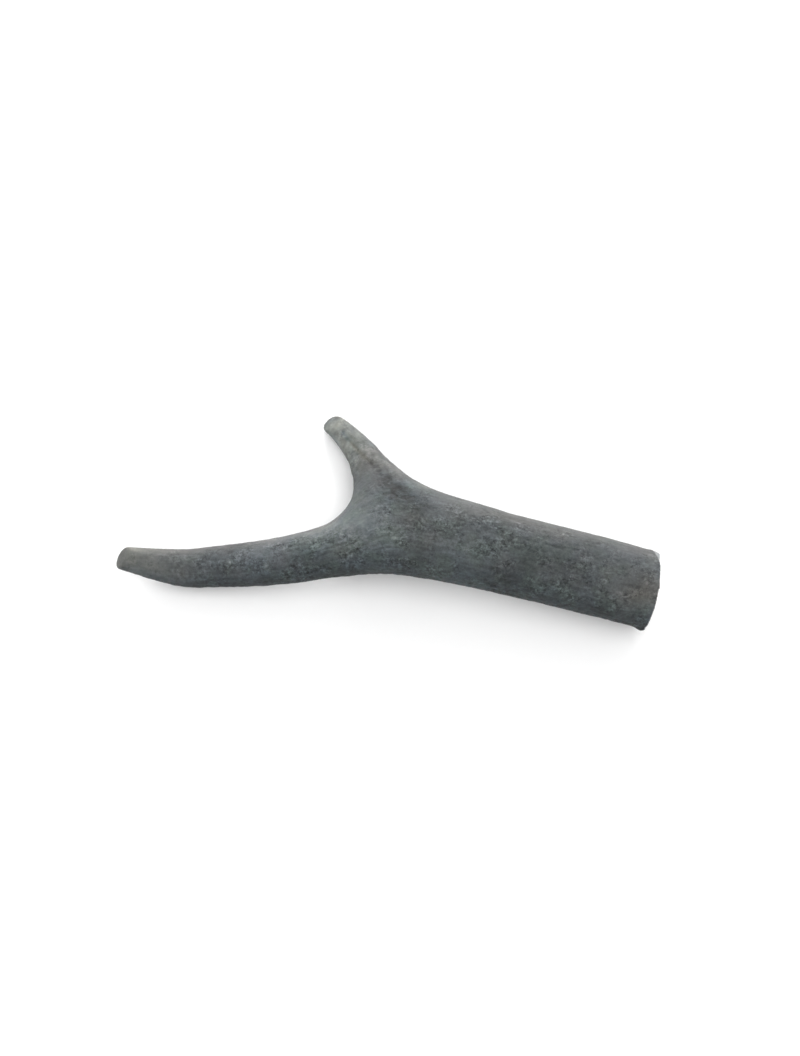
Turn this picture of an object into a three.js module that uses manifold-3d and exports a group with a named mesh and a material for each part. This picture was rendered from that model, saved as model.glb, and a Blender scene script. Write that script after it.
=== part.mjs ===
// A sawn piece of deer antler, lying on a flat surface.
//
// A thick beam runs towards +X and is sawn off square there. Towards -X it forks into a long
// tine and a short tine. The antler rests on three places: under the sawn end of the beam,
// under the belly of the long tine, and under the short tine. Millimetres, +Z up. The origin
// is under the middle of the antler, on the surface that it lies on.

import * as THREE from 'three';
import { mergeVertices } from 'three/addons/utils/BufferGeometryUtils.js';
import Module from 'manifold-3d';

// ---- Driving dimensions ------------------------------------------------------------------

// Stations along the two centrelines: x, y, z, and half the width of the branch there.
// The main line is the beam and the long tine in one curve, from the sawn end to the tip.
const MAIN_LINE = [
  [92.5, -28.2, 11.2, 12.6],
  [73, -22.5, 11.8, 13.2],
  [32.5, -13, 14.7, 13.4],
  [14.5, -10, 15.2, 12.8],
  [-1, -8, 13.7, 12.8],
  [-17, -12.5, 11.7, 9.1],
  [-35.5, -15.5, 9.2, 7.9],
  [-57, -16.5, 6.2, 6.9],
  [-70, -16.5, 6.2, 6],
  [-92, -13.5, 9.2, 3.2],
];
// The short tine starts inside the beam, so that the two grow together at the fork.
const SHORT_LINE = [
  [28.5, -10, 14.7, 7.9],
  [5.5, -0.5, 12.7, 12.3],
  [-4, 16.5, 7.8, 7.2],
  [-8.3, 25.1, 4.8, 5.4],
  [-16.8, 35.2, 3.9, 3.8],
  [-25.5, 40, 4.9, 3.3],
];
const FLATNESS = 0.88; // thickness of a branch over its width
const FORK_BLEND = 9; // distance between the branches at which the web of the fork fills in

// Cuts: a point on the cut, and the way it faces as degrees round from +X and up from level.
const BEAM_CUT = { point: [87, -26.2, 11.4], round: -9, up: -8, reach: 60 };
const LONG_TIP_CUT = { point: [-87.7, -14.8, 8.9], round: 168, up: 38, reach: 24 };
const SHORT_TIP_CUT = { point: [-18.1, 35.7, 5.2], round: 158, up: 48, reach: 24 };

// Where each tine leaves the fork: the middle of the joint and the way the tine grows on.
const LONG_ROOT = { point: [-21, -13.5, 11.2], round: 192, up: -6, reach: 30 };
const SHORT_ROOT = { point: [-3, 14.5, 8.2], round: 118, up: -17, reach: 30 };
const ROOT_GAP = 0.3;

const CELL = 2.5; // size of a facet
const STEPS_PER_SPAN = 8; // straight pieces that follow the curve from station to station

const BONE_FINISH = { roughness: 0.6, metalness: 0 };
const BEAM_COLOUR = '#5f6866';
const LONG_TINE_COLOUR = '#6b706e';
const SHORT_TINE_COLOUR = '#848a88';

const UP = new THREE.Vector3(0, 0, 1);

// ---- Shape -------------------------------------------------------------------------------

// The round, tapered branch that follows a line of stations. Its field is the distance to the
// branch's surface, negative inside.
class Branch {
  constructor(stations) {
    const count = (stations.length - 1) * STEPS_PER_SPAN;
    const smooth = (points) => new THREE.CatmullRomCurve3(points, false, 'catmullrom', 0.5);
    const centres = smooth(stations.map(([x, y, z]) => new THREE.Vector3(x, y, z)));
    const widths = smooth(stations.map(([, , , half]) => new THREE.Vector3(half, 0, 0)));
    this.pieces = [];
    for (let i = 0; i < count; i++) {
      const start = centres.getPoint(i / count);
      const along = centres.getPoint((i + 1) / count).sub(start);
      const side = new THREE.Vector3().crossVectors(UP, along).normalize();
      const over = new THREE.Vector3().crossVectors(along, side).normalize();
      const half = widths.getPoint(i / count).x;
      const growth = widths.getPoint((i + 1) / count).x - half;
      this.pieces.push({ start, along, side, over, half, growth });
    }
    this.offset = new THREE.Vector3();
  }

  field(point) {
    let nearest = Infinity;
    for (const { start, along, side, over, half, growth } of this.pieces) {
      const offset = this.offset.subVectors(point, start);
      const part = THREE.MathUtils.clamp(offset.dot(along) / along.lengthSq(), 0, 1);
      offset.addScaledVector(along, -part);
      const width = half + part * growth;
      const across = offset.dot(side);
      const upward = offset.dot(over) / FLATNESS;
      const endward = offset.dot(along) / along.length() / FLATNESS;
      const distance = offset.length() + 1e-9;
      const ratio = Math.hypot(across, upward, endward) / width + 1e-9;
      nearest = Math.min(nearest, distance - distance / ratio);
    }
    return nearest;
  }
}

// Joins two fields, with a fillet where they are less than `blend` apart.
function blended(first, second, blend) {
  const nearness = Math.max(blend - Math.abs(first - second), 0) / blend;
  return Math.min(first, second) - nearness * nearness * blend / 4;
}

// One closed skin of small facets over the place where a field is zero, inside a box.
function skin(field, box, cell) {
  const count = box.getSize(new THREE.Vector3()).divideScalar(cell).ceil().addScalar(1);
  const stride = [1, count.x, count.x * count.y];
  const stepsTo = (node) => [
    node % count.x,
    Math.floor(node / stride[1]) % count.y,
    Math.floor(node / stride[2]),
  ];
  const place = (node) =>
    new THREE.Vector3(...stepsTo(node)).multiplyScalar(cell).add(box.min);
  const values = new Float64Array(count.x * count.y * count.z);
  values.forEach((_, node) => {
    values[node] = field(place(node));
  });
  const crosses = (node, axis) => values[node] < 0 !== values[node + stride[axis]] < 0;

  // The middle of the places where the skin crosses a cell's twelve edges.
  const middle = (corner) => {
    const sum = new THREE.Vector3();
    let crossings = 0;
    for (let axis = 0; axis < 3; axis++) {
      for (const beside of [0, stride[(axis + 1) % 3]]) {
        for (const above of [0, stride[(axis + 2) % 3]]) {
          const node = corner + beside + above;
          if (!crosses(node, axis)) continue;
          const end = values[node + stride[axis]];
          const crossing = place(node);
          const moved = crossing.getComponent(axis) + cell * values[node] / (values[node] - end);
          sum.add(crossing.setComponent(axis, moved));
          crossings++;
        }
      }
    }
    return sum.divideScalar(crossings);
  };

  // Moves a point straight onto the skin.
  const settle = (point) => {
    const nudge = 0.01;
    const slope = new THREE.Vector3();
    for (let round = 0; round < 3; round++) {
      const here = field(point);
      for (let axis = 0; axis < 3; axis++) {
        const beside = point.clone();
        beside.setComponent(axis, beside.getComponent(axis) + nudge);
        slope.setComponent(axis, (field(beside) - here) / nudge);
      }
      point.addScaledVector(slope, -here / slope.lengthSq());
    }
    return point;
  };

  const positions = [];
  const indices = [];
  const vertices = new Map();
  const vertexOf = (corner) => {
    if (!vertices.has(corner)) {
      vertices.set(corner, vertices.size);
      positions.push(...settle(middle(corner)));
    }
    return vertices.get(corner);
  };

  // Each edge that the skin crosses has one quad round it, made of its four cells' points.
  const inner = (node) =>
    stepsTo(node).every((steps, axis) => steps > 0 && steps < count.getComponent(axis) - 1);
  for (let node = 0; node < values.length; node++) {
    if (!inner(node)) continue;
    for (let axis = 0; axis < 3; axis++) {
      if (!crosses(node, axis)) continue;
      const beside = stride[(axis + 1) % 3];
      const above = stride[(axis + 2) % 3];
      const cells = [node, node - beside, node - beside - above, node - above];
      const [a, b, c, d] = (values[node] < 0 ? cells : cells.reverse()).map(vertexOf);
      indices.push(a, b, c, a, c, d);
    }
  }
  const geometry = new THREE.BufferGeometry();
  geometry.setAttribute('position', new THREE.Float32BufferAttribute(positions, 3));
  geometry.setIndex(indices);
  return geometry;
}

// ---- Solids ------------------------------------------------------------------------------

const wasm = await Module();
wasm.setup();

function solidOf(geometry) {
  const bare = geometry.clone();
  bare.deleteAttribute('normal');
  bare.deleteAttribute('uv');
  const merged = mergeVertices(bare);
  return new wasm.Manifold(new wasm.Mesh({
    numProp: 3,
    vertProperties: merged.attributes.position.array,
    triVerts: new Uint32Array(merged.index.array),
  }));
}

function geometryOf(solid) {
  const { vertProperties, triVerts } = solid.getMesh();
  const geometry = new THREE.BufferGeometry();
  geometry.setAttribute('position', new THREE.BufferAttribute(vertProperties, 3));
  geometry.setIndex(new THREE.BufferAttribute(triVerts, 1));
  return geometry;
}

// A block whose face lies on a cut, on the side that the cut faces.
function block({ point, round, up, reach }, thickness) {
  const turn = THREE.MathUtils.degToRad(round);
  const rise = THREE.MathUtils.degToRad(up);
  const facing = new THREE.Vector3(Math.cos(turn), Math.sin(turn), Math.tan(rise)).normalize();
  const geometry = new THREE.BoxGeometry(reach, reach, thickness);
  geometry.translate(0, 0, thickness / 2);
  geometry.applyQuaternion(new THREE.Quaternion().setFromUnitVectors(UP, facing));
  geometry.translate(...point);
  return solidOf(geometry);
}

const mainBranch = new Branch(MAIN_LINE);
const shortBranch = new Branch(SHORT_LINE);
const antlerField = (point) =>
  blended(mainBranch.field(point), shortBranch.field(point), FORK_BLEND);
const stations = [...MAIN_LINE, ...SHORT_LINE].map(([x, y, z]) => new THREE.Vector3(x, y, z));
const margin = 1.5 * Math.max(...MAIN_LINE.map(([, , , half]) => half));
const box = new THREE.Box3().setFromPoints(stations).expandByScalar(margin);

let antler = solidOf(skin(antlerField, box, CELL));
for (const cut of [BEAM_CUT, LONG_TIP_CUT, SHORT_TIP_CUT]) {
  antler = antler.subtract(block(cut, cut.reach));
}
for (const root of [LONG_ROOT, SHORT_ROOT]) {
  antler = antler.subtract(block(root, ROOT_GAP));
}
const [beam, longTine, shortTine] = antler
  .decompose()
  .sort((first, second) => second.volume() - first.volume());

// ---- Pieces ------------------------------------------------------------------------------

// A named piece, placed by its root.
function piece(name, solid, root, colour) {
  const geometry = geometryOf(solid);
  geometry.translate(...root.map((coordinate) => -coordinate));
  const material = new THREE.MeshStandardMaterial({ color: colour, ...BONE_FINISH });
  const mesh = new THREE.Mesh(geometry, material);
  mesh.name = name;
  mesh.position.set(...root);
  return mesh;
}

const group = new THREE.Group();
group.add(
  piece('main_beam', beam, [0, 0, 0], BEAM_COLOUR),
  piece('long_tine', longTine, LONG_ROOT.point, LONG_TINE_COLOUR),
  piece('short_tine', shortTine, SHORT_ROOT.point, SHORT_TINE_COLOUR),
);

export default group;
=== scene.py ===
"""A sawn piece of deer antler, lying on a pale studio floor.

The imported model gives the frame. Its three solids are one grown piece of bone, so one
continuous skin stands for all of them. The skin follows the same centrelines, and adds what
has grown, worn and been sawn there: ribs along the grain, beads, pits, a gutter along the
short tine, and the spongy core that the saw has opened.
"""

import math

import bmesh
import bpy
import numpy as np
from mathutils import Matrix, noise


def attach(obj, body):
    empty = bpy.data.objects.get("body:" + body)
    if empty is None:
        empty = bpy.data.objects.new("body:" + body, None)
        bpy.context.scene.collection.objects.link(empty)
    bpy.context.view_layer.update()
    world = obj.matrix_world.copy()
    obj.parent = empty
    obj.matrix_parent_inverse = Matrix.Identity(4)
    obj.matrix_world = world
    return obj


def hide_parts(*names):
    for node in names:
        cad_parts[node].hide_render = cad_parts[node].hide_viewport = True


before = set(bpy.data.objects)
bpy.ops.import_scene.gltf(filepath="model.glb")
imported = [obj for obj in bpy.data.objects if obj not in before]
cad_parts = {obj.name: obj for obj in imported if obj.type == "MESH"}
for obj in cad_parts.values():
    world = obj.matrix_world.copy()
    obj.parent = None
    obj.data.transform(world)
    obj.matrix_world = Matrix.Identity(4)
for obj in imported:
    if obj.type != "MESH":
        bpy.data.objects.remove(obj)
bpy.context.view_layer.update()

MM = 0.001  # the shape is worked out in millimetres, and Blender's unit is the metre

# ---- Driving dimensions, in millimetres ----------------------------------------------------

# The branches and the cuts are those of the CAD model. Only the short tip's cut faces a little
# less far round, as it does in the photo.

# x, y, z and half the width: the beam and the long tine, from the sawn end to the tip
MAIN_LINE = [
    (92.5, -28.2, 11.2, 12.6),
    (73, -22.5, 11.8, 13.2),
    (32.5, -13, 14.7, 13.4),
    (14.5, -10, 15.2, 12.8),
    (-1, -8, 13.7, 12.8),
    (-17, -12.5, 11.7, 9.1),
    (-35.5, -15.5, 9.2, 7.9),
    (-57, -16.5, 6.2, 6.9),
    (-70, -16.5, 6.2, 6),
    (-92, -13.5, 9.2, 3.2),
]
# The short tine starts inside the beam, so that the two grow together at the fork
SHORT_LINE = [
    (28.5, -10, 14.7, 7.9),
    (5.5, -0.5, 12.7, 12.3),
    (-4, 16.5, 7.8, 7.2),
    (-8.3, 25.1, 4.8, 5.4),
    (-16.8, 35.2, 3.9, 3.8),
    (-25.5, 40, 4.9, 3.3),
]
FLATNESS = 0.88  # thickness of a branch over its width
FORK_BLEND = 9  # distance between the branches at which the web of the fork fills in
STEPS_PER_SPAN = 16  # straight pieces that follow the curve from station to station
NEIGHBOURS = 6  # pieces on each side of the one with the nearest middle that may be nearer
GRAIN_BLEND = 0.5  # how softly the grain turns where a branch bends
GRAIN_TURN = 5  # how gradually the grain turns from one branch's to the other's at the fork

# A cut: a point on it, degrees round from +X and up from level, and how far round that point
# it reaches. The rim is the rounding of its edge, and the bark is the dense bone round the core.
CUTS = {
    "beam": dict(point=(87, -26.2, 11.4), round=-9, up=-8, reach=40, rim=0.4, bark=4.2),
    "long_tip": dict(point=(-87.7, -14.8, 8.9), round=168, up=38, reach=15, rim=0.9, bark=9),
    "short_tip": dict(point=(-18.1, 35.7, 5.2), round=151, up=48, reach=15, rim=1.1, bark=9),
}
# A flake broken off the lower corner of the sawn end
CHIP = dict(point=(85.8, -37.9, 15.6), round=-63, up=27, reach=5, rim=0.2)
# A splinter that was left standing past the saw cut, on the rim: the plane that ends it, how
# far round that point it reaches, and its thickness
SPLINTER = dict(point=(89, -20.8, 21), round=-3.5, up=9.5, reach=8.5, thickness=1.3)
# The skin has come off the splinter past this plane
BARED = dict(point=(88.45, -17.2, 18.1), round=6.6, up=-9.7, reach=5)
# Where bone stands out at the rim: the middle, how far it reaches, and its height
BURRS = [
    ((83.9, -38.2, 8.6), 1.6, 0.8),
    ((88.8, -14.4, 15.6), 2.6, 0.4),
]
# Seen from above, x and y of the gutter that runs from the short tine's tip into the fork,
# and of the ridge beside it
GUTTER = [
    (-14.6, 31.6),
    (-13.2, 29.6),
    (-11.4, 26.9),
    (-9.7, 24.6),
    (-7.9, 22),
    (-6.1, 19.4),
    (-4.3, 16.8),
    (-2.3, 13.6),
    (0, 9.9),
    (2.4, 5.9),
    (5, 2.5),
    (8.2, -0.8),
    (12.1, -4),
]
RIDGE = [
    (-11.5, 31.5),
    (-4.5, 24),
    (1.6, 15.7),
    (8, 8.8),
    (13.2, 5.4),
    (20, 2.7),
]
# Seen from above, a pale scratch across the root of the long tine
SCRATCH = [(-19.2, -12.6), (-20.4, -15.6), (-23.5, -17)]
# Small stains from the gutter's end on into the fork: the middle, and how far each reaches
STAINS = [
    ((-4.8, 17.7, 14.2), (1.4, 1.4, 1.4)),
    ((-2.4, 14.1, 16.8), (1.1, 1.6, 1.6)),
    ((0.6, 10, 20), (1.4, 2.0, 2.0)),
    ((4.3, 5.6, 23), (1.2, 1.2, 1.2)),
    ((7.6, 1.6, 25.3), (1.6, 1.1, 1.1)),
]

# The size of a quad in the first mesh and in the final one, and the points round a tube
ROUGH_QUAD = 1.0
FINE_QUAD = 0.47
RING_POINTS = 40

# ---- Small maths ---------------------------------------------------------------------------

TINY = 1e-9  # keeps a divisor off zero
SEED_SHIFT = 17.3  # how far apart two seeds take their noise


def unit(vectors):
    return vectors / np.linalg.norm(vectors, axis=-1, keepdims=True)


def smoothstep(low, high, values):
    share = np.clip((values - low) / (high - low), 0, 1)
    return share * share * (3 - 2 * share)


def blended(first, second, blend):
    """The lower of two fields, with a fillet where they are less than `blend` apart."""
    nearness = np.maximum(blend - np.abs(first - second), 0) / blend
    return np.minimum(first, second) - nearness * nearness * blend / 4


def facing(cut):
    """The outward normal of a cut."""
    turn, rise = math.radians(cut["round"]), math.radians(cut["up"])
    level = math.cos(rise)
    return np.array([level * math.cos(turn), level * math.sin(turn), math.sin(rise)])


def noise_at(places, seed=0, octaves=1):
    """Smooth random values about zero, one for each place, with features one unit across."""
    moved = (places + SEED_SHIFT * (seed + 1)).tolist()
    if octaves == 1:
        return np.array([noise.noise(place) for place in moved])
    fading, finer = 1.0, 2.0  # each octave has half the strength and half the size
    return np.array([noise.fractal(place, fading, finer, octaves) for place in moved])


def cells_at(places):
    """The distances from each place to its two nearest random seeds, and the nearest seed."""
    found = [noise.voronoi(place) for place in places.tolist()]
    near = np.array([distances[:2] for distances, _ in found])
    seeds = np.array([tuple(seeds[0]) for _, seeds in found])
    return near[:, 0], near[:, 1], seeds


def spot(points, centre, radii):
    """One at the centre, fading to nothing at a few radii."""
    return np.exp(-(((points - centre) / radii) ** 2).sum(axis=1))


def band(far, width):
    """One on a line, fading to nothing at a few widths from it."""
    return np.exp(-((far / width) ** 2))


# ---- Shape ---------------------------------------------------------------------------------


class Branch:
    """A round, tapered branch along a line of stations."""

    def __init__(self, stations):
        line = self.curve(np.array(stations, float))
        self.start, self.half = line[:-1, :3], line[:-1, 3]
        self.along, self.growth = np.diff(line[:, :3], axis=0), np.diff(line[:, 3])
        self.length = np.linalg.norm(self.along, axis=1)
        self.reach = np.concatenate([[0], np.cumsum(self.length)[:-1]])
        self.heading = unit(self.along)
        self.side = unit(np.cross((0, 0, 1), self.heading))
        self.over = np.cross(self.heading, self.side)
        self.middle = self.start + self.along / 2

    @staticmethod
    def curve(rows):
        """Points on the smooth curve through the stations."""
        rows = np.vstack([2 * rows[0] - rows[1], rows, 2 * rows[-1] - rows[-2]])
        t = (np.arange(STEPS_PER_SPAN) / STEPS_PER_SPAN)[:, None]
        spans = []
        for a, b, c, d in zip(rows, rows[1:], rows[2:], rows[3:]):
            square = 2 * a - 5 * b + 4 * c - d
            cube = 3 * b - a - 3 * c + d
            spans.append(b + 0.5 * ((c - a) * t + square * t**2 + cube * t**3))
        return np.vstack([*spans, rows[-2]])

    def place(self, points):
        """The distance to the surface, and where along, across and over the branch each is.

        Across and over are those of the nearest place on the branch's own surface.
        """
        square = (points**2).sum(axis=1)[:, None] + (self.middle**2).sum(axis=1)
        apart = np.sqrt(np.maximum(square - 2 * points @ self.middle.T, 0))
        nearest = (apart - self.half).argmin(axis=1)
        distances, places = [], []
        for step in range(-NEIGHBOURS, NEIGHBOURS + 1):
            k = np.clip(nearest + step, 0, len(self.start) - 1)
            offset = points - self.start[k]
            part = (offset * self.heading[k]).sum(axis=1) / self.length[k]
            part = np.clip(part, 0, 1)
            offset = offset - part[:, None] * self.along[k]
            width = self.half[k] + part * self.growth[k]
            across = (offset * self.side[k]).sum(axis=1)
            over = (offset * self.over[k]).sum(axis=1)
            endward = (offset * self.heading[k]).sum(axis=1)
            far = np.linalg.norm(offset, axis=1) + TINY
            stretched = across**2 + (over**2 + endward**2) / FLATNESS**2
            ratio = np.sqrt(stretched) / width + TINY
            distances.append(far - far / ratio)
            reach = self.reach[k] + part * self.length[k]
            places.append(np.stack([reach, across / ratio, over / ratio], axis=1))
        nearest = np.min(distances, axis=0)
        weights = np.exp((nearest - distances) / GRAIN_BLEND)[..., None]
        return nearest, (weights * places).sum(axis=0) / weights.sum(axis=0)

    def tube(self):
        """A tube of rings with closed ends, as a bmesh in millimetres."""
        turn = np.arange(RING_POINTS) * 2 * math.pi / RING_POINTS
        round_it = np.cos(turn)[:, None] * self.side[:, None]
        round_it = round_it + FLATNESS * np.sin(turn)[:, None] * self.over[:, None]
        rings = self.start[:, None] + self.half[:, None, None] * round_it
        bm = bmesh.new()
        made = [[bm.verts.new(point) for point in ring] for ring in rings]
        for ring, after in zip(made, made[1:]):
            for i in range(RING_POINTS):
                j = (i + 1) % RING_POINTS
                bm.faces.new((ring[i], ring[j], after[j], after[i]))
        bm.faces.new(made[0])
        bm.faces.new(made[-1])
        return bm


MAIN, SHORT = Branch(MAIN_LINE), Branch(SHORT_LINE)


def uncut(points):
    """The distance to the antler's grown surface, negative inside."""
    return blended(MAIN.place(points)[0], SHORT.place(points)[0], FORK_BLEND)


def splinter(points, distance):
    """The distance to the space that the splinter takes up, past the saw cut."""
    offset = points - SPLINTER["point"]
    far = np.linalg.norm(offset, axis=1) - SPLINTER["reach"]
    return np.maximum.reduce([offset @ facing(SPLINTER), far, -distance - SPLINTER["thickness"]])


def surface(points):
    """The distance to the antler as it is, sawn and chipped."""
    grown = distance = uncut(points)
    for cut in [*CUTS.values(), CHIP]:
        offset = points - cut["point"]
        past = offset @ facing(cut)
        if cut is CUTS["beam"]:
            past = np.minimum(past, splinter(points, grown))
        near = np.linalg.norm(offset, axis=1) < cut["reach"]
        distance = np.where(near, -blended(-distance, -past, cut["rim"]), distance)
    return distance


def points_of(mesh):
    flat = np.empty(3 * len(mesh.vertices))
    mesh.vertices.foreach_get("co", flat)
    return flat.reshape(-1, 3) / MM


def normals_of(mesh):
    flat = np.empty(3 * len(mesh.vertices))
    mesh.vertex_normals.foreach_get("vector", flat)
    return flat.reshape(-1, 3)


def set_points(mesh, points):
    mesh.vertices.foreach_set("co", (points * MM).ravel())
    mesh.update()


def settle(mesh):
    """Moves a mesh's vertices along their normals onto the antler's surface."""
    feel = 0.05
    least_slope = 0.4
    longest_move = 1.5
    rounds = 3
    for _ in range(rounds):
        points, normals = points_of(mesh), normals_of(mesh)
        here = surface(points)
        slope = (surface(points + feel * normals) - here) / feel
        move = here / np.maximum(slope, least_slope)
        move = np.clip(move, -longest_move, longest_move)
        set_points(mesh, points - normals * move[:, None])


def even_quads(mesh, size):
    """A new mesh over the same shape, made of even quads of about `size` millimetres."""
    carrier = bpy.data.objects.new("carrier", mesh)
    bpy.context.scene.collection.objects.link(carrier)
    modifier = carrier.modifiers.new("even_quads", "REMESH")
    modifier.mode = "VOXEL"
    modifier.voxel_size = size * MM
    graph = bpy.context.evaluated_depsgraph_get()
    made = bpy.data.meshes.new_from_object(carrier.evaluated_get(graph))
    bpy.data.objects.remove(carrier)
    return made


def saw_off(bm, cut):
    """Takes off what lies past a cut, and closes the end."""
    bmesh.ops.bisect_plane(
        bm,
        geom=[*bm.verts, *bm.edges, *bm.faces],
        plane_co=cut["point"],
        plane_no=facing(cut),
        clear_outer=True,
    )
    bmesh.ops.holes_fill(bm, edges=[edge for edge in bm.edges if edge.is_boundary])


def rough_antler():
    """The two branches as closed, sawn tubes that run into each other."""
    joined = bpy.data.meshes.new("rough_antler")
    both = bmesh.new()
    for branch, names in ((MAIN, ("beam", "long_tip")), (SHORT, ("short_tip",))):
        bm = branch.tube()
        for name in names:
            saw_off(bm, CUTS[name])
        bmesh.ops.recalc_face_normals(bm, faces=bm.faces)
        bmesh.ops.scale(bm, vec=(MM, MM, MM), verts=bm.verts)
        bm.to_mesh(joined)
        both.from_mesh(joined)
        bm.free()
    both.to_mesh(joined)
    both.free()
    return joined


def refine_core(mesh):
    """Halves the quads on the beam's sawn face, which has the finest detail."""
    cut = CUTS["beam"]
    level_within = 0.3
    left_at_rim = 1
    points = points_of(mesh)
    offset = points - cut["point"]
    on_it = np.linalg.norm(offset, axis=1) < cut["reach"]
    on_it = on_it & (np.abs(offset @ facing(cut)) < level_within)
    on_it = on_it & (uncut(points) < -left_at_rim)
    bm = bmesh.new()
    bm.from_mesh(mesh)
    bm.verts.ensure_lookup_table()
    edges = [e for e in bm.edges if on_it[e.verts[0].index] and on_it[e.verts[1].index]]
    bmesh.ops.subdivide_edges(bm, edges=edges, cuts=1, use_grid_fill=True)
    bm.to_mesh(mesh)
    bm.free()


# ---- Relief --------------------------------------------------------------------------------


def laid_on_top(line):
    """The line's points at the height of the antler's upper surface."""
    well_above = 40.0
    steps_down = 30
    points = np.column_stack([line, np.full(len(line), well_above)])
    for _ in range(steps_down):
        points[:, 2] -= uncut(points)
    return points


def line_distance(points, line):
    """The distance from each point to a line of straight pieces, and the share gone along it."""
    line = laid_on_top(line)
    best = np.full(len(points), np.inf)
    gone = np.zeros(len(points))
    for i, (a, b) in enumerate(zip(line, line[1:])):
        step = b - a
        share = np.clip((points - a) @ step / (step @ step), 0, 1)
        far = np.linalg.norm(points - a - share[:, None] * step, axis=1)
        closer = far < best
        best = np.where(closer, far, best)
        gone = np.where(closer, (i + share) / (len(line) - 1), gone)
    return best, gone


# Towards the key light: +Y and a little up. The bone's tone is painted paler on the side that
# faces it and darker on the side that faces away: painted light and shade.
TOWARD_KEY_LIGHT = np.array([0, 0.94, 0.34])
# How far along its branch each tine's wear begins, and how far along it is full
SHORT_WEAR = (40, 66)
LONG_WEAR = (152, 182)
# The size along x, y and z of the marks that the saw left
SAW_MARKS = np.array([40, 14, 0.8])


class Skin:
    """Where every vertex lies: in space, along the grain of each branch, and on the cuts."""

    def __init__(self, mesh):
        self.points, self.normals = points_of(mesh), normals_of(mesh)
        main_far, self.main = MAIN.place(self.points)
        short_far, self.short = SHORT.place(self.points)
        self.short_share = smoothstep(-GRAIN_TURN, GRAIN_TURN, main_far - short_far)
        self.depth = -blended(main_far, short_far, FORK_BLEND)
        self.beam_cut, self.core = self.sawn(CUTS["beam"])
        self.cut = self.beam_cut
        for name in ("long_tip", "short_tip"):
            self.cut = np.maximum(self.cut, self.sawn(CUTS[name])[0])
        self.saw_marks = self.cut * noise_at(self.points / SAW_MARKS, seed=41)
        self.facing_key_light = self.normals @ unit(TOWARD_KEY_LIGHT)
        self.short_tip = smoothstep(*SHORT_WEAR, self.short[:, 0]) * self.short_share
        self.long_tip = smoothstep(*LONG_WEAR, self.main[:, 0]) * (1 - self.short_share)
        offset = self.points - BARED["point"]
        near = smoothstep(BARED["reach"] + 1, BARED["reach"], np.linalg.norm(offset, axis=1))
        self.bared = near * smoothstep(0, 0.25, offset @ facing(BARED))

    def sawn(self, cut):
        """How much each vertex is on a cut, and in the spongy core that the cut opens."""
        offset = self.points - cut["point"]
        near = np.linalg.norm(offset, axis=1) < cut["reach"]
        level = np.abs(offset @ facing(cut))
        on_it = near * smoothstep(0.6, 0.2, level)
        on_it = on_it * smoothstep(0.5, 0.9, self.normals @ facing(cut))
        ragged = self.depth + 0.6 * noise_at(self.points / 2.5, seed=40)
        return on_it, on_it * smoothstep(0, 1, ragged - cut["bark"])

    def grained(self, along, across, seed, octaves=1):
        """Noise that is stretched along the grain of whichever branch a vertex is on."""
        size = np.array([along, across, across])
        value = noise_at(self.main / size, seed, octaves) * (1 - self.short_share)
        on_short = self.short_share > 0
        there = noise_at(self.short[on_short] / size, seed + 0.5, octaves)
        value[on_short] += there * self.short_share[on_short]
        return value

    def beads(self, along, across):
        """Round beads of random size, each one unit high at most."""
        size = np.array([along, across, across])
        value = np.zeros(len(self.points))
        for places, share in ((self.main, 1 - self.short_share), (self.short, self.short_share)):
            here = share > 0
            far, _, seeds = cells_at(places[here] / size)
            grown = smoothstep(-0.15, 0.45, noise_at(seeds / 3.5, seed=50))
            grown = grown * (0.5 + 0.5 * noise_at(seeds * 7.1, seed=51))
            value[here] += share[here] * grown * np.clip(1 - (far / 0.5) ** 2, 0, 1)
        return value


# Where the bone is smoother or rougher: the middle, how far it reaches along x, y and z, and
# how much rougher it is
ROUGH_PLACES = [
    ((-7, 8, 17), (6, 12, 9), -0.85),
    ((-14, 28, 7), (8, 9, 7), -0.35),
    ((-14, -3, 18), (9, 5, 6), -0.45),
    ((-6, -4, 22), (7, 7, 6), -0.5),
    ((70, -17, 22), (16, 5, 5), -0.4),
    ((78, -24, 24), (9, 6, 6), -0.35),
    ((3, 6, 21), (7, 9, 7), 0.6),
    ((32, -16, 24), (14, 9, 9), 0.1),
    ((-64, -17, 10), (15, 7, 7), -0.2),
    ((12, -8, 27), (9, 7, 6), 0.3),
]


def roughness_of(skin):
    """How rough the grown surface is, from 0 where it is worn smooth to 1."""
    rough = np.ones(len(skin.points))
    for centre, radii, change in ROUGH_PLACES:
        rough = rough * (1 + change * spot(skin.points, centre, radii))
    rough = rough * (1 - 0.55 * smoothstep(0.6, 0.95, skin.facing_key_light))
    return rough * (1 - 0.3 * skin.short_tip) * (1 - 0.5 * skin.long_tip) * (1 - 0.7 * skin.cut)


def fine_grain(skin):
    """The height in millimetres of the ribs, grains, pits and beads where the bone is rough."""
    ribs = np.abs(skin.grained(26, 2.4, seed=2, octaves=2))
    ribs = -0.16 * smoothstep(0.13, 0.0, ribs) * smoothstep(-0.3, 0.3, skin.grained(20, 8, seed=5))
    grains = 0.16 * skin.grained(2.3, 1.8, seed=4, octaves=2)
    pits = -0.4 * np.maximum(skin.grained(2.4, 1.2, seed=6) - 0.3, 0)
    return ribs + grains + pits + 0.11 * skin.beads(2.8, 2.0)


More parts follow.
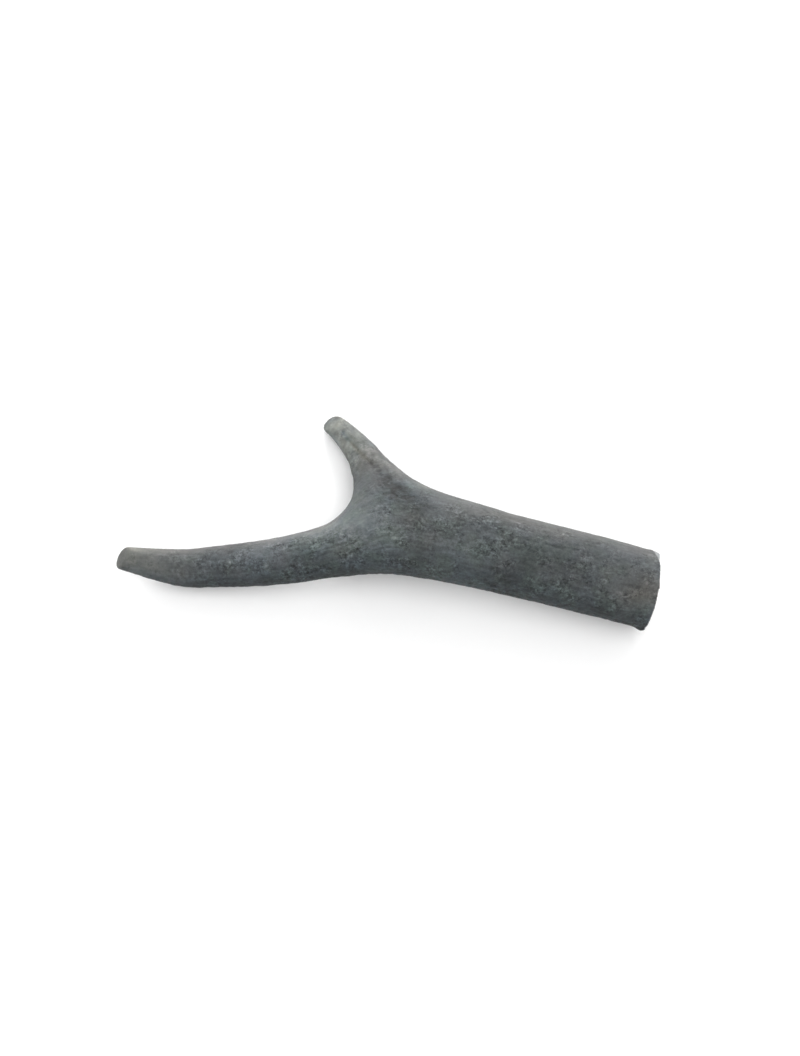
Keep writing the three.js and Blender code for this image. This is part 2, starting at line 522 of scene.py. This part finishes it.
def placed_marks(skin):
    """How strong each mark that has a place of its own is at every vertex."""
    marks = {}
    far, gone = line_distance(skin.points, GUTTER)
    width = (0.5 + 0.35 * gone) * (1 + 0.6 * noise_at(skin.points / 4, seed=7))
    kept = smoothstep(0.08, 0.16, gone) * smoothstep(0.52, 0.42, gone)
    kept = kept * smoothstep(-0.8, -0.1, noise_at(skin.points / 3.2, seed=9))
    marks["gutter"] = band(far, width) * kept
    marks["head"] = band(far, 0.9) * smoothstep(0.2, 0.1, gone)
    kept = smoothstep(0.3, 0.6, gone) * smoothstep(1.0, 0.8, gone)
    marks["valley"] = band(far, 3.8) * kept
    stains = sum(spot(skin.points, centre, reach) for centre, reach in STAINS)
    marks["stains"] = stains * (1 + noise_at(skin.points / 1.1, seed=19))
    far, gone = line_distance(skin.points, RIDGE)
    kept = smoothstep(0.1, 0.4, gone) * smoothstep(1.0, 0.8, gone)
    marks["ridge"] = band(far, 1.8) * kept
    far, _ = line_distance(skin.points, SCRATCH)
    marks["scratch"] = band(far, 0.45)
    return marks


# How far each placed mark stands out of the bone, and how deep the saw's marks and the place
# without skin are, in millimetres
MARK_HEIGHTS = dict(gutter=-0.22, head=-0.15, stains=-0.15, valley=-0.9, ridge=0.5)
SAW_MARK_DEPTH = 0.03
BARED_DEPTH = 0.12


def grow_relief(skin, fine, marks):
    """The height of the surface's detail in millimetres."""
    height = 0.2 * skin.grained(26, 13, seed=1) + 0.1 * skin.grained(10, 5, seed=3)
    for name, lift in MARK_HEIGHTS.items():
        height = height + lift * marks[name]
    grown = 1 - skin.cut
    height = grown * height + fine - SAW_MARK_DEPTH * skin.saw_marks
    for centre, reach, lift in BURRS:
        height = height + lift * spot(skin.points, centre, reach)
    return height - BARED_DEPTH * skin.bared


PORE_SIZE = 1.5  # from pore to pore, in millimetres


def open_pores(skin):
    """The depth in millimetres of the pores in the spongy core."""
    depth = np.zeros(len(skin.points))
    here = skin.core > 0
    nearest, next_one, seeds = cells_at(skin.points[here] / PORE_SIZE)
    deep = 0.35 + 0.75 * smoothstep(-0.4, 0.5, noise_at(seeds * 5.3, seed=8))
    depth[here] = skin.core[here] * deep * smoothstep(0.05, 0.3, next_one - nearest)
    return depth


# ---- Tone and tint: what is pale, dark, brown and slate ------------------------------------

# A tone is the lightness of the bone, from 0 for black to 1 for white.
BONE_TONE = 0.27
SAWN_TONE = 0.62
BARED_TONE = 0.52
# How much of the warm tint sawn bone has
SAWN_WARMTH = 0.75
# How much paler and how much warmer each placed mark is than the bone round it
# The ridge's paler tone is a painted highlight along it, and the valley's darker tone is painted
# shade along its groove
MARK_TONES = dict(gutter=-0.06, head=-0.075, valley=-0.05, ridge=0.045, stains=-0.07, scratch=0.05)
MARK_WARMTHS = dict(gutter=0.6, head=-0.5, valley=-0.3)

# The middle of a patch, how far it reaches along x, y and z, and how much paler it is
PATCHES = [
    # The web where the tines part
    ((-6, -6, 23), (13, 6, 7), 0.11),
    ((-8, -13, 22), (12, 4, 6), 0.055),
    ((-8, 8, 17), (5, 10, 9), 0.03),
    ((-18, -7, 18), (10, 4, 5), 0.08),
    ((-15.5, -16, 19), (6, 2.5, 4), -0.03),
    ((-6, -20, 17), (7, 3, 4), 0.03),
    # The long tine: its back, crest and belly, and its end. Its back and crest are painted paler
    # and its belly darker: painted light and shade.
    ((-33.5, -9.5, 14), (9, 3, 5), 0.085),
    ((-43, -11.5, 13.5), (6, 2.5, 4), 0.015),
    ((-47, -17, 13.5), (13, 3.5, 5), 0.06),
    ((-49, -12, 12), (4, 3, 4), -0.03),
    ((-30, -17, 16.5), (4, 2.5, 3), 0.03),
    ((-40, -16, 15.5), (4, 2.5, 3), 0.035),
    ((-22, -14.3, 18.8), (8, 2.5, 4), 0.055),
    ((-28, -20, 15), (12, 3.5, 5), -0.04),
    ((-52, -19, 12.5), (10, 2, 3), -0.022),
    ((-26, -19, 16.5), (4, 2, 3), -0.028),
    ((-83, -15.7, 11.5), (4, 4, 4), 0.014),
    ((-73, -12.5, 10), (7, 3, 4), -0.03),
    ((-87.5, -15, 11), (1.5, 4, 4), -0.075),
    # The hollow between the short tine and the beam, painted darker: partly darker bone, partly
    # painted shade in the hollow
    ((9.5, -2, 26), (6, 5, 5), -0.08),
    ((-3.5, 8, 20), (3, 3.5, 4), -0.03),
    ((3, 5.5, 22.5), (6, 5.5, 7), -0.08),
    ((13, -3, 26), (6, 4, 4), -0.03),
    # The beam, with a stain on its side, a rubbed streak along it, and its rim
    ((4, -11, 26), (9, 4, 5), 0.045),
    ((28, -16.5, 26), (14, 4, 5), 0.055),
    ((21, -24.5, 16), (16, 3, 4), 0.055),
    ((28.5, -26, 15), (5, 2.5, 3), 0.045),
    ((13, -17.5, 24.5), (3.5, 2.5, 3), -0.03),
    ((28, -7, 26.5), (4, 3, 4), -0.025),
    ((66, -34, 13), (9, 3, 5), -0.03),
    ((60, -24, 23.5), (4, 3.5, 4), -0.03),
    ((45, -5.5, 22), (14, 4, 5), -0.025),
    ((32.5, -7.3, 26), (3.5, 1.3, 3), 0.045),
    ((47, -19, 25), (9, 4, 5), -0.04),
    ((39.5, -25, 22), (6.5, 3.5, 4), -0.065),
    ((70, -15.5, 22.5), (7, 3, 4), -0.035),
    ((79, -27, 22), (10, 7, 6), 0.02),
    ((82, -33, 20), (6, 4, 5), 0.02),
    ((86, -35, 19.5), (2.5, 3, 4), 0.045),
    ((87.5, -25.7, 22), (2, 3.8, 5), 0.08),
    # The short tine: its two sides, its worn tip, and where its ridge and its gutter end
    ((-7, 19, 11), (5, 6, 6), 0.05),
    ((-16, 29, 6), (4.5, 7, 6), 0.052),
    ((-6.3, 28, 8.4), (2.5, 5, 4), 0.025),
    ((-12, 29.5, 8), (1.8, 4, 4), 0.022),
    ((-10, 13.5, 11), (2.5, 4, 4), 0.025),
    ((-13, 22, 7), (3, 6, 6), 0.09),
    ((-2.5, 22, 11), (3, 5, 5), -0.03),
    ((-18.5, 36, 7), (4, 3.5, 4), 0.07),
    # Paler where the ridge ends: a painted highlight
    ((11, 6.3, 22), (1.8, 1.2, 3), 0.03),
    ((-2.5, 10, 19), (3, 3, 4), -0.035),
]
# The same, with how much warmer it is
WARM_PATCHES = [
    # The brown stain beside the sawn end
    ((82, -30.5, 21.5), (8, 5, 6), 0.72),
    # The web and the beam's top
    ((-4, -4, 23), (10, 8, 7), 0.12),
    ((9, -8, 27), (5, 3, 4), 0.2),
    ((15, -14, 26), (6, 3, 4), 0.25),
    ((16, 0, 25), (6, 4, 5), -0.2),
    ((13, 6, 21.5), (5, 3, 4), 0.3),
    ((6, 11.5, 18), (4, 4, 4), 0.12),
    ((31, -5, 25.5), (12, 3, 5), 0.22),
    ((22, -11, 27), (5, 3, 4), -0.12),
    ((70, -16, 22), (14, 3.5, 5), -0.12),
    ((55, -12, 23), (14, 4, 5), 0.15),
    # The short tine
    ((-7, 20, 11), (6, 7, 5), 0.3),
    ((-5.5, 16, 14), (4, 4, 5), 0.35),
    ((-1, 16, 15), (6, 5, 5), 0.25),
    ((-14, 26, 6), (3.5, 7, 6), 0.35),
    ((-5, 28, 6), (3.5, 5, 6), -0.25),
    ((-18, 36, 6), (5, 4.5, 5), 0.3),
    # The long tine, which is the coolest
    ((-30, -18, 13), (28, 6, 7), -0.33),
]
# The middle and the reach of the hollow, and of where pale streaks run along the grain
HOLLOW = ((5.5, 4, 23.5), (7, 6, 5))
COMBED = ((-7, -12.5, 23), (24, 7, 7))


def grown_tone(skin, rough, fine, marks):
    """How light the grown surface is at every vertex."""
    back = skin.facing_key_light
    # Painted light and shade: paler on the side that faces the key light, darker on the side that
    # faces away from it
    tone = BONE_TONE + 0.025 * smoothstep(0.5, 1, back) - 0.09 * smoothstep(-0.25, -1, back)
    for centre, radii, change in PATCHES:
        tone = tone + change * spot(skin.points, centre, radii)
    tone = tone + (0.12 - 0.06 * smoothstep(0.3, 0.9, back)) * skin.short_tip
    tone = tone + 0.075 * skin.long_tip
    tone = tone + 0.02 * skin.grained(16, 8, seed=11, octaves=2) * rough + 0.1 * fine
    for name, change in MARK_TONES.items():
        tone = tone + change * marks[name]
    blotches = smoothstep(-0.1, 0.35, noise_at(skin.points / 2.6, seed=13, octaves=2))
    tone = tone - 0.07 * blotches * marks["valley"]
    # Pale streaks along the grain, only on the side that faces the key light: painted light
    lit_streaks = np.maximum(skin.grained(6, 2.2, seed=14, octaves=2), 0)
    tone = tone + 0.07 * lit_streaks * smoothstep(0.45, 0.8, back)
    mottle = noise_at(skin.points / 2.4, seed=16, octaves=2)
    return tone + 0.1 * mottle * smoothstep(34, 50, skin.short[:, 0]) * skin.short_share


def tone_of(skin, grown, pores):
    """How light every vertex is. The worn tips keep the tone of the grown surface."""
    sawn = SAWN_TONE - 0.12 * skin.core - 0.22 * pores + 0.03 * skin.saw_marks
    tone = grown + skin.beam_cut * (sawn - grown)
    return tone + skin.bared * (BARED_TONE - tone)


def warmth_of(skin, marks):
    """How much of the warm tint every vertex has in place of the cool one."""
    warmth = 0.12 + 0.12 * skin.grained(14, 9, seed=12)
    warmth = warmth + 0.3 * smoothstep(0.6, 0.95, skin.facing_key_light)
    warmth = warmth - 0.4 * smoothstep(-0.1, -0.8, skin.facing_key_light)
    warmth = warmth + 0.3 * skin.short_tip + 0.6 * skin.long_tip
    warmth = warmth - 0.7 * spot(skin.points, *HOLLOW)
    for name, change in MARK_WARMTHS.items():
        warmth = warmth + change * marks[name]
    for centre, radii, change in WARM_PATCHES:
        warmth = warmth + change * spot(skin.points, centre, radii)
    return warmth + skin.beam_cut * (SAWN_WARMTH + 0.15 * skin.core - warmth)


def slate_of(skin):
    """How much of the slate tint every vertex has: most on the back and towards both ends."""
    slate = 0.05 + 0.5 * smoothstep(0.5, 0.9, skin.facing_key_light)
    slate = slate - 0.3 * smoothstep(-0.1, -0.8, skin.facing_key_light)
    slate = slate + 0.3 * smoothstep(55, 85, skin.points[:, 0])
    slate = slate + 0.35 * smoothstep(-22, -40, skin.points[:, 0])
    return slate - spot(skin.points, *HOLLOW)


def add_value(mesh, name, values):
    mesh.attributes.new(name, "FLOAT", "POINT").data.foreach_set("value", values)


def add_place(mesh, name, places):
    data = mesh.attributes.new(name, "FLOAT_VECTOR", "POINT").data
    data.foreach_set("vector", places.ravel())


def paint(mesh, skin, rough, fine, marks, pores):
    """Gives the mesh the values that its material reads."""
    values = dict(
        tone=tone_of(skin, grown_tone(skin, rough, fine, marks), pores),
        warmth=warmth_of(skin, marks),
        slate=slate_of(skin),
        rough=rough,
        core=skin.core,
        combed=spot(skin.points, *COMBED),
        olive=0.75 * skin.short_tip + 0.7 * skin.long_tip + 0.5 * marks["gutter"],
        short_share=skin.short_share,
    )
    for name, value in values.items():
        add_value(mesh, name, value)
    add_place(mesh, "grain_main", skin.main)
    add_place(mesh, "grain_short", skin.short)


# ---- Material ------------------------------------------------------------------------------


class Shader:
    """Short names for the nodes that a material is made of."""

    def __init__(self, name):
        self.material = bpy.data.materials.new(name)
        self.material.use_nodes = True
        self.tree = self.material.node_tree
        self.tree.nodes.clear()

    def node(self, kind, inputs=(), **settings):
        made = self.tree.nodes.new(kind)
        for key, value in settings.items():
            setattr(made, key, value)
        for key, value in dict(inputs).items():
            if isinstance(value, bpy.types.NodeSocket):
                self.tree.links.new(value, made.inputs[key])
            else:
                made.inputs[key].default_value = value
        return made

    def attribute(self, name, output="Fac"):
        return self.node("ShaderNodeAttribute", attribute_name=name).outputs[output]

    def maths(self, operation, a, b=0.0, c=0.0, clamp=False):
        inputs = {0: a, 1: b, 2: c}
        return self.node("ShaderNodeMath", inputs, operation=operation, use_clamp=clamp).outputs[0]

    def add(self, *values):
        total = values[0]
        for value in values[1:]:
            total = self.maths("ADD", total, value)
        return total

    def times(self, a, b):
        return self.maths("MULTIPLY", a, b)

    def span(self, value, low, high, to_low=0.0, to_high=1.0):
        inputs = {"Value": value, 1: low, 2: high, 3: to_low, 4: to_high}
        node = self.node("ShaderNodeMapRange", inputs, interpolation_type="SMOOTHSTEP")
        return node.outputs[0]

    def blend(self, share, a, b):
        node = self.node("ShaderNodeMix", {0: share, 2: a, 3: b}, data_type="FLOAT")
        return node.outputs[0]

    def blend_colours(self, share, a, b, clamp=True):
        inputs = {0: share, 6: a, 7: b}
        node = self.node("ShaderNodeMix", inputs, data_type="RGBA", clamp_factor=clamp)
        return node.outputs[2]

    def noise(self, vector, detail=2.0, roughness=0.5, distortion=0.0):
        inputs = {
            "Vector": vector,
            "Scale": 1.0,
            "Detail": detail,
            "Roughness": roughness,
            "Distortion": distortion,
        }
        return self.node("ShaderNodeTexNoise", inputs).outputs["Fac"]

    def spread(self, noise_value):
        """A noise node's value, most of which is from 0.25 to 0.75, brought to -1 to 1."""
        return self.maths("MULTIPLY_ADD", noise_value, 4.0, -2.0)

    def grained(self, along, across, seed, **noise_settings):
        """Noise from -1 to 1, stretched along the grain of whichever branch is there."""
        values = []
        for name in ("grain_main", "grain_short"):
            inputs = {
                "Vector": self.attribute(name, "Vector"),
                "Location": (seed, 2 * seed, 3 * seed),
                "Scale": (1 / along, 1 / across, 1 / across),
            }
            mapped = self.node("ShaderNodeMapping", inputs).outputs[0]
            values.append(self.noise(mapped, **noise_settings))
        return self.spread(self.blend(self.attribute("short_share"), *values))

    def even(self, size, seed, **noise_settings):
        """Noise from -1 to 1 with features of one size in millimetres, a little longer in x."""
        across = 1 / (size * MM)
        along = 0.93 / (size * MM)
        inputs = {
            "Vector": self.node("ShaderNodeTexCoord").outputs["Object"],
            "Location": (seed, 2 * seed, 3 * seed),
            "Scale": (along, across, across),
        }
        mapped = self.node("ShaderNodeMapping", inputs).outputs[0]
        return self.spread(self.noise(mapped, **noise_settings))

    def marks(self, size, seed, width):
        """Short wandering lines, each fading out along its length."""
        line = self.maths("ABSOLUTE", self.even(size, seed, detail=2, distortion=0.5))
        broken = self.span(self.even(1.4 * size, seed + 40, detail=1), 0.0, 0.5)
        return self.times(self.span(line, width, 0.0), broken)

    def finished(self, inputs):
        """The material, with a shader that has these inputs."""
        shader = self.node("ShaderNodeBsdfPrincipled", inputs)
        self.node("ShaderNodeOutputMaterial", {"Surface": shader.outputs[0]})
        return self.material


# What the bone's grey is multiplied by: weathered bone is a cool grey-green, and worn bone
# is warmer
COOL_TINT = (0.86, 1.025, 1.105, 1)
MOSS_TINT = (0.865, 1.075, 1.045, 1)
SLATE_TINT = (0.94, 1.0, 1.075, 1)
WARM_TINT = (1.075, 1.015, 0.905, 1)
OLIVE_TINT = (1.03, 1.05, 0.9, 1)
# The least warmth: below nothing, it takes warm tint away from the cool one
COOLEST = -0.25
DARKEST_TONE = 0.05  # however many dark marks meet
TONE_POWER = 2.2  # from a tone to the share of light that the bone returns
BUMP_HEIGHT = 0.12  # in millimetres


def bone_texture(s, clouds, mottle, grit, dark_marks):
    """How much paler or darker the bone is over small distances."""
    clusters = s.span(s.even(5.5, seed=8.3, detail=2), -0.35, 0.6, 0.5, 1.45)
    streaks = s.grained(9, 0.9, seed=5.3, detail=2)
    pale_marks = s.marks(2.3, seed=23.7, width=0.13)
    fine = s.add(
        s.times(mottle, 0.085),
        s.times(grit, 0.07),
        s.times(dark_marks, -0.075),
        s.times(pale_marks, 0.035),
    )
    streaking = s.span(s.attribute("combed"), 0, 1, 0.022, 0.07)
    coarse = s.add(s.times(clouds, 0.02), s.times(streaks, streaking))
    return s.add(s.times(fine, clusters), coarse)


def bone_tint(s, clouds, mottle):
    """The tint that the bone's grey is multiplied by."""
    moss = s.span(s.even(6, seed=15.1, detail=3), -0.35, 0.45)
    cool = s.blend_colours(moss, COOL_TINT, MOSS_TINT)
    slate = s.add(s.attribute("slate"), s.times(s.even(7, seed=19.7, detail=3), 0.5))
    cool = s.blend_colours(slate, cool, SLATE_TINT)
    warm = s.add(s.attribute("warmth"), s.times(clouds, 0.16), s.times(mottle, 0.12))
    warm = s.maths("MINIMUM", s.maths("MAXIMUM", warm, COOLEST), 1.0)
    worn = s.blend_colours(s.attribute("olive"), WARM_TINT, OLIVE_TINT)
    return s.blend_colours(warm, cool, worn, clamp=False)


def bone_material():
    """Weathered bone: a granular mottle over a cool grey, with clusters of dark specks."""
    s = Shader("antler_bone")
    rough = s.attribute("rough")
    strength = s.span(rough, 0, 1.6, 0.42, 1.35)
    clouds = s.even(8, seed=3.1, detail=2)
    mottle = s.even(2.2, seed=7.7, detail=4, roughness=0.85)
    grit = s.even(0.9, seed=4.9, detail=2, roughness=0.7)
    dark_marks = s.marks(2.0, seed=11.9, width=0.17)

    texture = bone_texture(s, clouds, mottle, grit, dark_marks)
    tone = s.add(s.attribute("tone"), s.times(texture, strength))
    light = s.maths("POWER", s.maths("MAXIMUM", tone, DARKEST_TONE), TONE_POWER)
    tint = bone_tint(s, clouds, mottle)
    base = s.node("ShaderNodeVectorMath", {0: tint, 3: light}, operation="SCALE")

    worn = s.span(rough, 0, 1, 0.54, 0.68)
    shine = s.add(worn, s.times(mottle, 0.04), s.times(s.attribute("core"), 0.2))
    height = s.add(s.times(mottle, 0.6), s.times(grit, 0.3), s.times(dark_marks, -0.6))
    height = s.times(height, strength)
    inputs = {"Height": height, "Strength": 0.7, "Distance": BUMP_HEIGHT * MM}
    bump = s.node("ShaderNodeBump", inputs)
    inputs = {
        "Base Color": base.outputs[0],
        "Roughness": shine,
        "Specular IOR Level": 0.35,
        "Normal": bump.outputs[0],
    }
    return s.finished(inputs)


# ---- Antler --------------------------------------------------------------------------------


def antler_mesh():
    """An even mesh over the whole antler, finest on the sawn face, before it has any relief."""
    mesh = even_quads(rough_antler(), ROUGH_QUAD)
    settle(mesh)
    mesh = even_quads(mesh, FINE_QUAD)
    settle(mesh)
    refine_core(mesh)
    return mesh


def make_antler():
    mesh = antler_mesh()
    skin = Skin(mesh)
    rough = roughness_of(skin)
    fine = rough * fine_grain(skin)
    marks = placed_marks(skin)
    pores = open_pores(skin)
    height = grow_relief(skin, fine, marks) - pores
    points = skin.points + skin.normals * height[:, None]
    points[:, 2] = np.maximum(points[:, 2], 0)  # nothing sinks into the floor
    set_points(mesh, points)
    paint(mesh, skin, rough, fine, marks, pores)
    mesh.shade_smooth()
    mesh.materials.append(bone_material())
    antler = bpy.data.objects.new("antler", mesh)
    bpy.context.scene.collection.objects.link(antler)
    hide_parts("main_beam", "long_tine", "short_tine")
    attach(antler, "root")


# ---- Studio --------------------------------------------------------------------------------

# In metres
FLOOR_RADIUS = 1.4
SWEEP_RADIUS = 0.5
WALL_HEIGHT = 1.6
# How many flat pieces the sweep has from floor to wall, and how many go round
SWEEP_STEPS = 8
TURN_STEPS = 64
# How much light the floor returns, and how strong the light from all round is
FLOOR_SHADE = 0.97
WORLD_STRENGTH = 0.78


def floor_paper():
    s = Shader("floor_paper")
    return s.finished({
        "Base Color": (FLOOR_SHADE, FLOOR_SHADE, FLOOR_SHADE, 1),
        "Roughness": 0.95,
    })


def make_floor():
    """A pale floor that sweeps up into a wall all round, far outside the view."""
    profile = [(0, 0), (FLOOR_RADIUS, 0)]
    for i in range(1, SWEEP_STEPS + 1):
        turn = math.radians(90 * i / SWEEP_STEPS)
        out = FLOOR_RADIUS + SWEEP_RADIUS * math.sin(turn)
        profile.append((out, SWEEP_RADIUS * (1 - math.cos(turn))))
    profile.append((FLOOR_RADIUS + SWEEP_RADIUS, WALL_HEIGHT))
    bm = bmesh.new()
    verts = [bm.verts.new((x, 0, z)) for x, z in profile]
    edges = [bm.edges.new(pair) for pair in zip(verts, verts[1:])]
    bmesh.ops.spin(
        bm,
        geom=[*verts, *edges],
        axis=(0, 0, 1),
        cent=(0, 0, 0),
        steps=TURN_STEPS,
        angle=2 * math.pi,
    )
    bmesh.ops.remove_doubles(bm, verts=bm.verts, dist=0.0001)
    bmesh.ops.recalc_face_normals(bm, faces=bm.faces)
    mesh = bpy.data.meshes.new("floor")
    bm.to_mesh(mesh)
    bm.free()
    mesh.shade_smooth()
    mesh.materials.append(floor_paper())
    floor = bpy.data.objects.new("floor", mesh)
    bpy.context.scene.collection.objects.link(floor)


def add_light(name, azimuth, elevation, distance, size, power):
    """A soft square light, aimed at the antler. Azimuth 0 is on the camera's side."""
    light = bpy.data.lights.new(name, "AREA")
    light.size = size
    light.energy = power
    lamp = bpy.data.objects.new(name, light)
    turn, rise = math.radians(azimuth), math.radians(elevation)
    level = distance * math.cos(rise)
    lamp.location = (level * math.sin(turn), -level * math.cos(turn), distance * math.sin(rise))
    lamp.rotation_euler = (math.pi / 2 - rise, 0, turn)
    lamp.visible_camera = False
    bpy.context.scene.collection.objects.link(lamp)


def make_lights():
    # Azimuths and elevations are in degrees, distances and sizes in metres, power in watts
    add_light("key", azimuth=176, elevation=16, distance=1.1, size=0.6, power=14)
    add_light("overhead", azimuth=0, elevation=80, distance=1.3, size=1.4, power=7)
    world = bpy.data.worlds.new("studio")
    world.use_nodes = True
    background = world.node_tree.nodes["Background"]
    background.inputs["Color"].default_value = (1, 1, 1, 1)
    background.inputs["Strength"].default_value = WORLD_STRENGTH
    bpy.context.scene.world = world


CAMERA_LENS = 50  # millimetres
CAMERA_ELEVATION = 70  # degrees, judged from the photograph
CAMERA_DISTANCE = 0.5006  # metres, as is the place that the camera aims at
CAMERA_AIM = (0.005, -0.0005, 0.0002)


def make_camera():
    camera = bpy.data.cameras.new("camera")
    camera.lens = CAMERA_LENS
    viewer = bpy.data.objects.new("camera", camera)
    rise = math.radians(CAMERA_ELEVATION)
    x, y, z = CAMERA_AIM
    back, up = CAMERA_DISTANCE * math.cos(rise), CAMERA_DISTANCE * math.sin(rise)
    viewer.location = (x, y - back, z + up)
    viewer.rotation_euler = (math.pi / 2 - rise, 0, 0)
    bpy.context.scene.collection.objects.link(viewer)
    bpy.context.scene.camera = viewer


make_camera()
make_antler()
make_floor()
make_lights()
bpy.context.scene.view_settings.view_transform = "Standard"
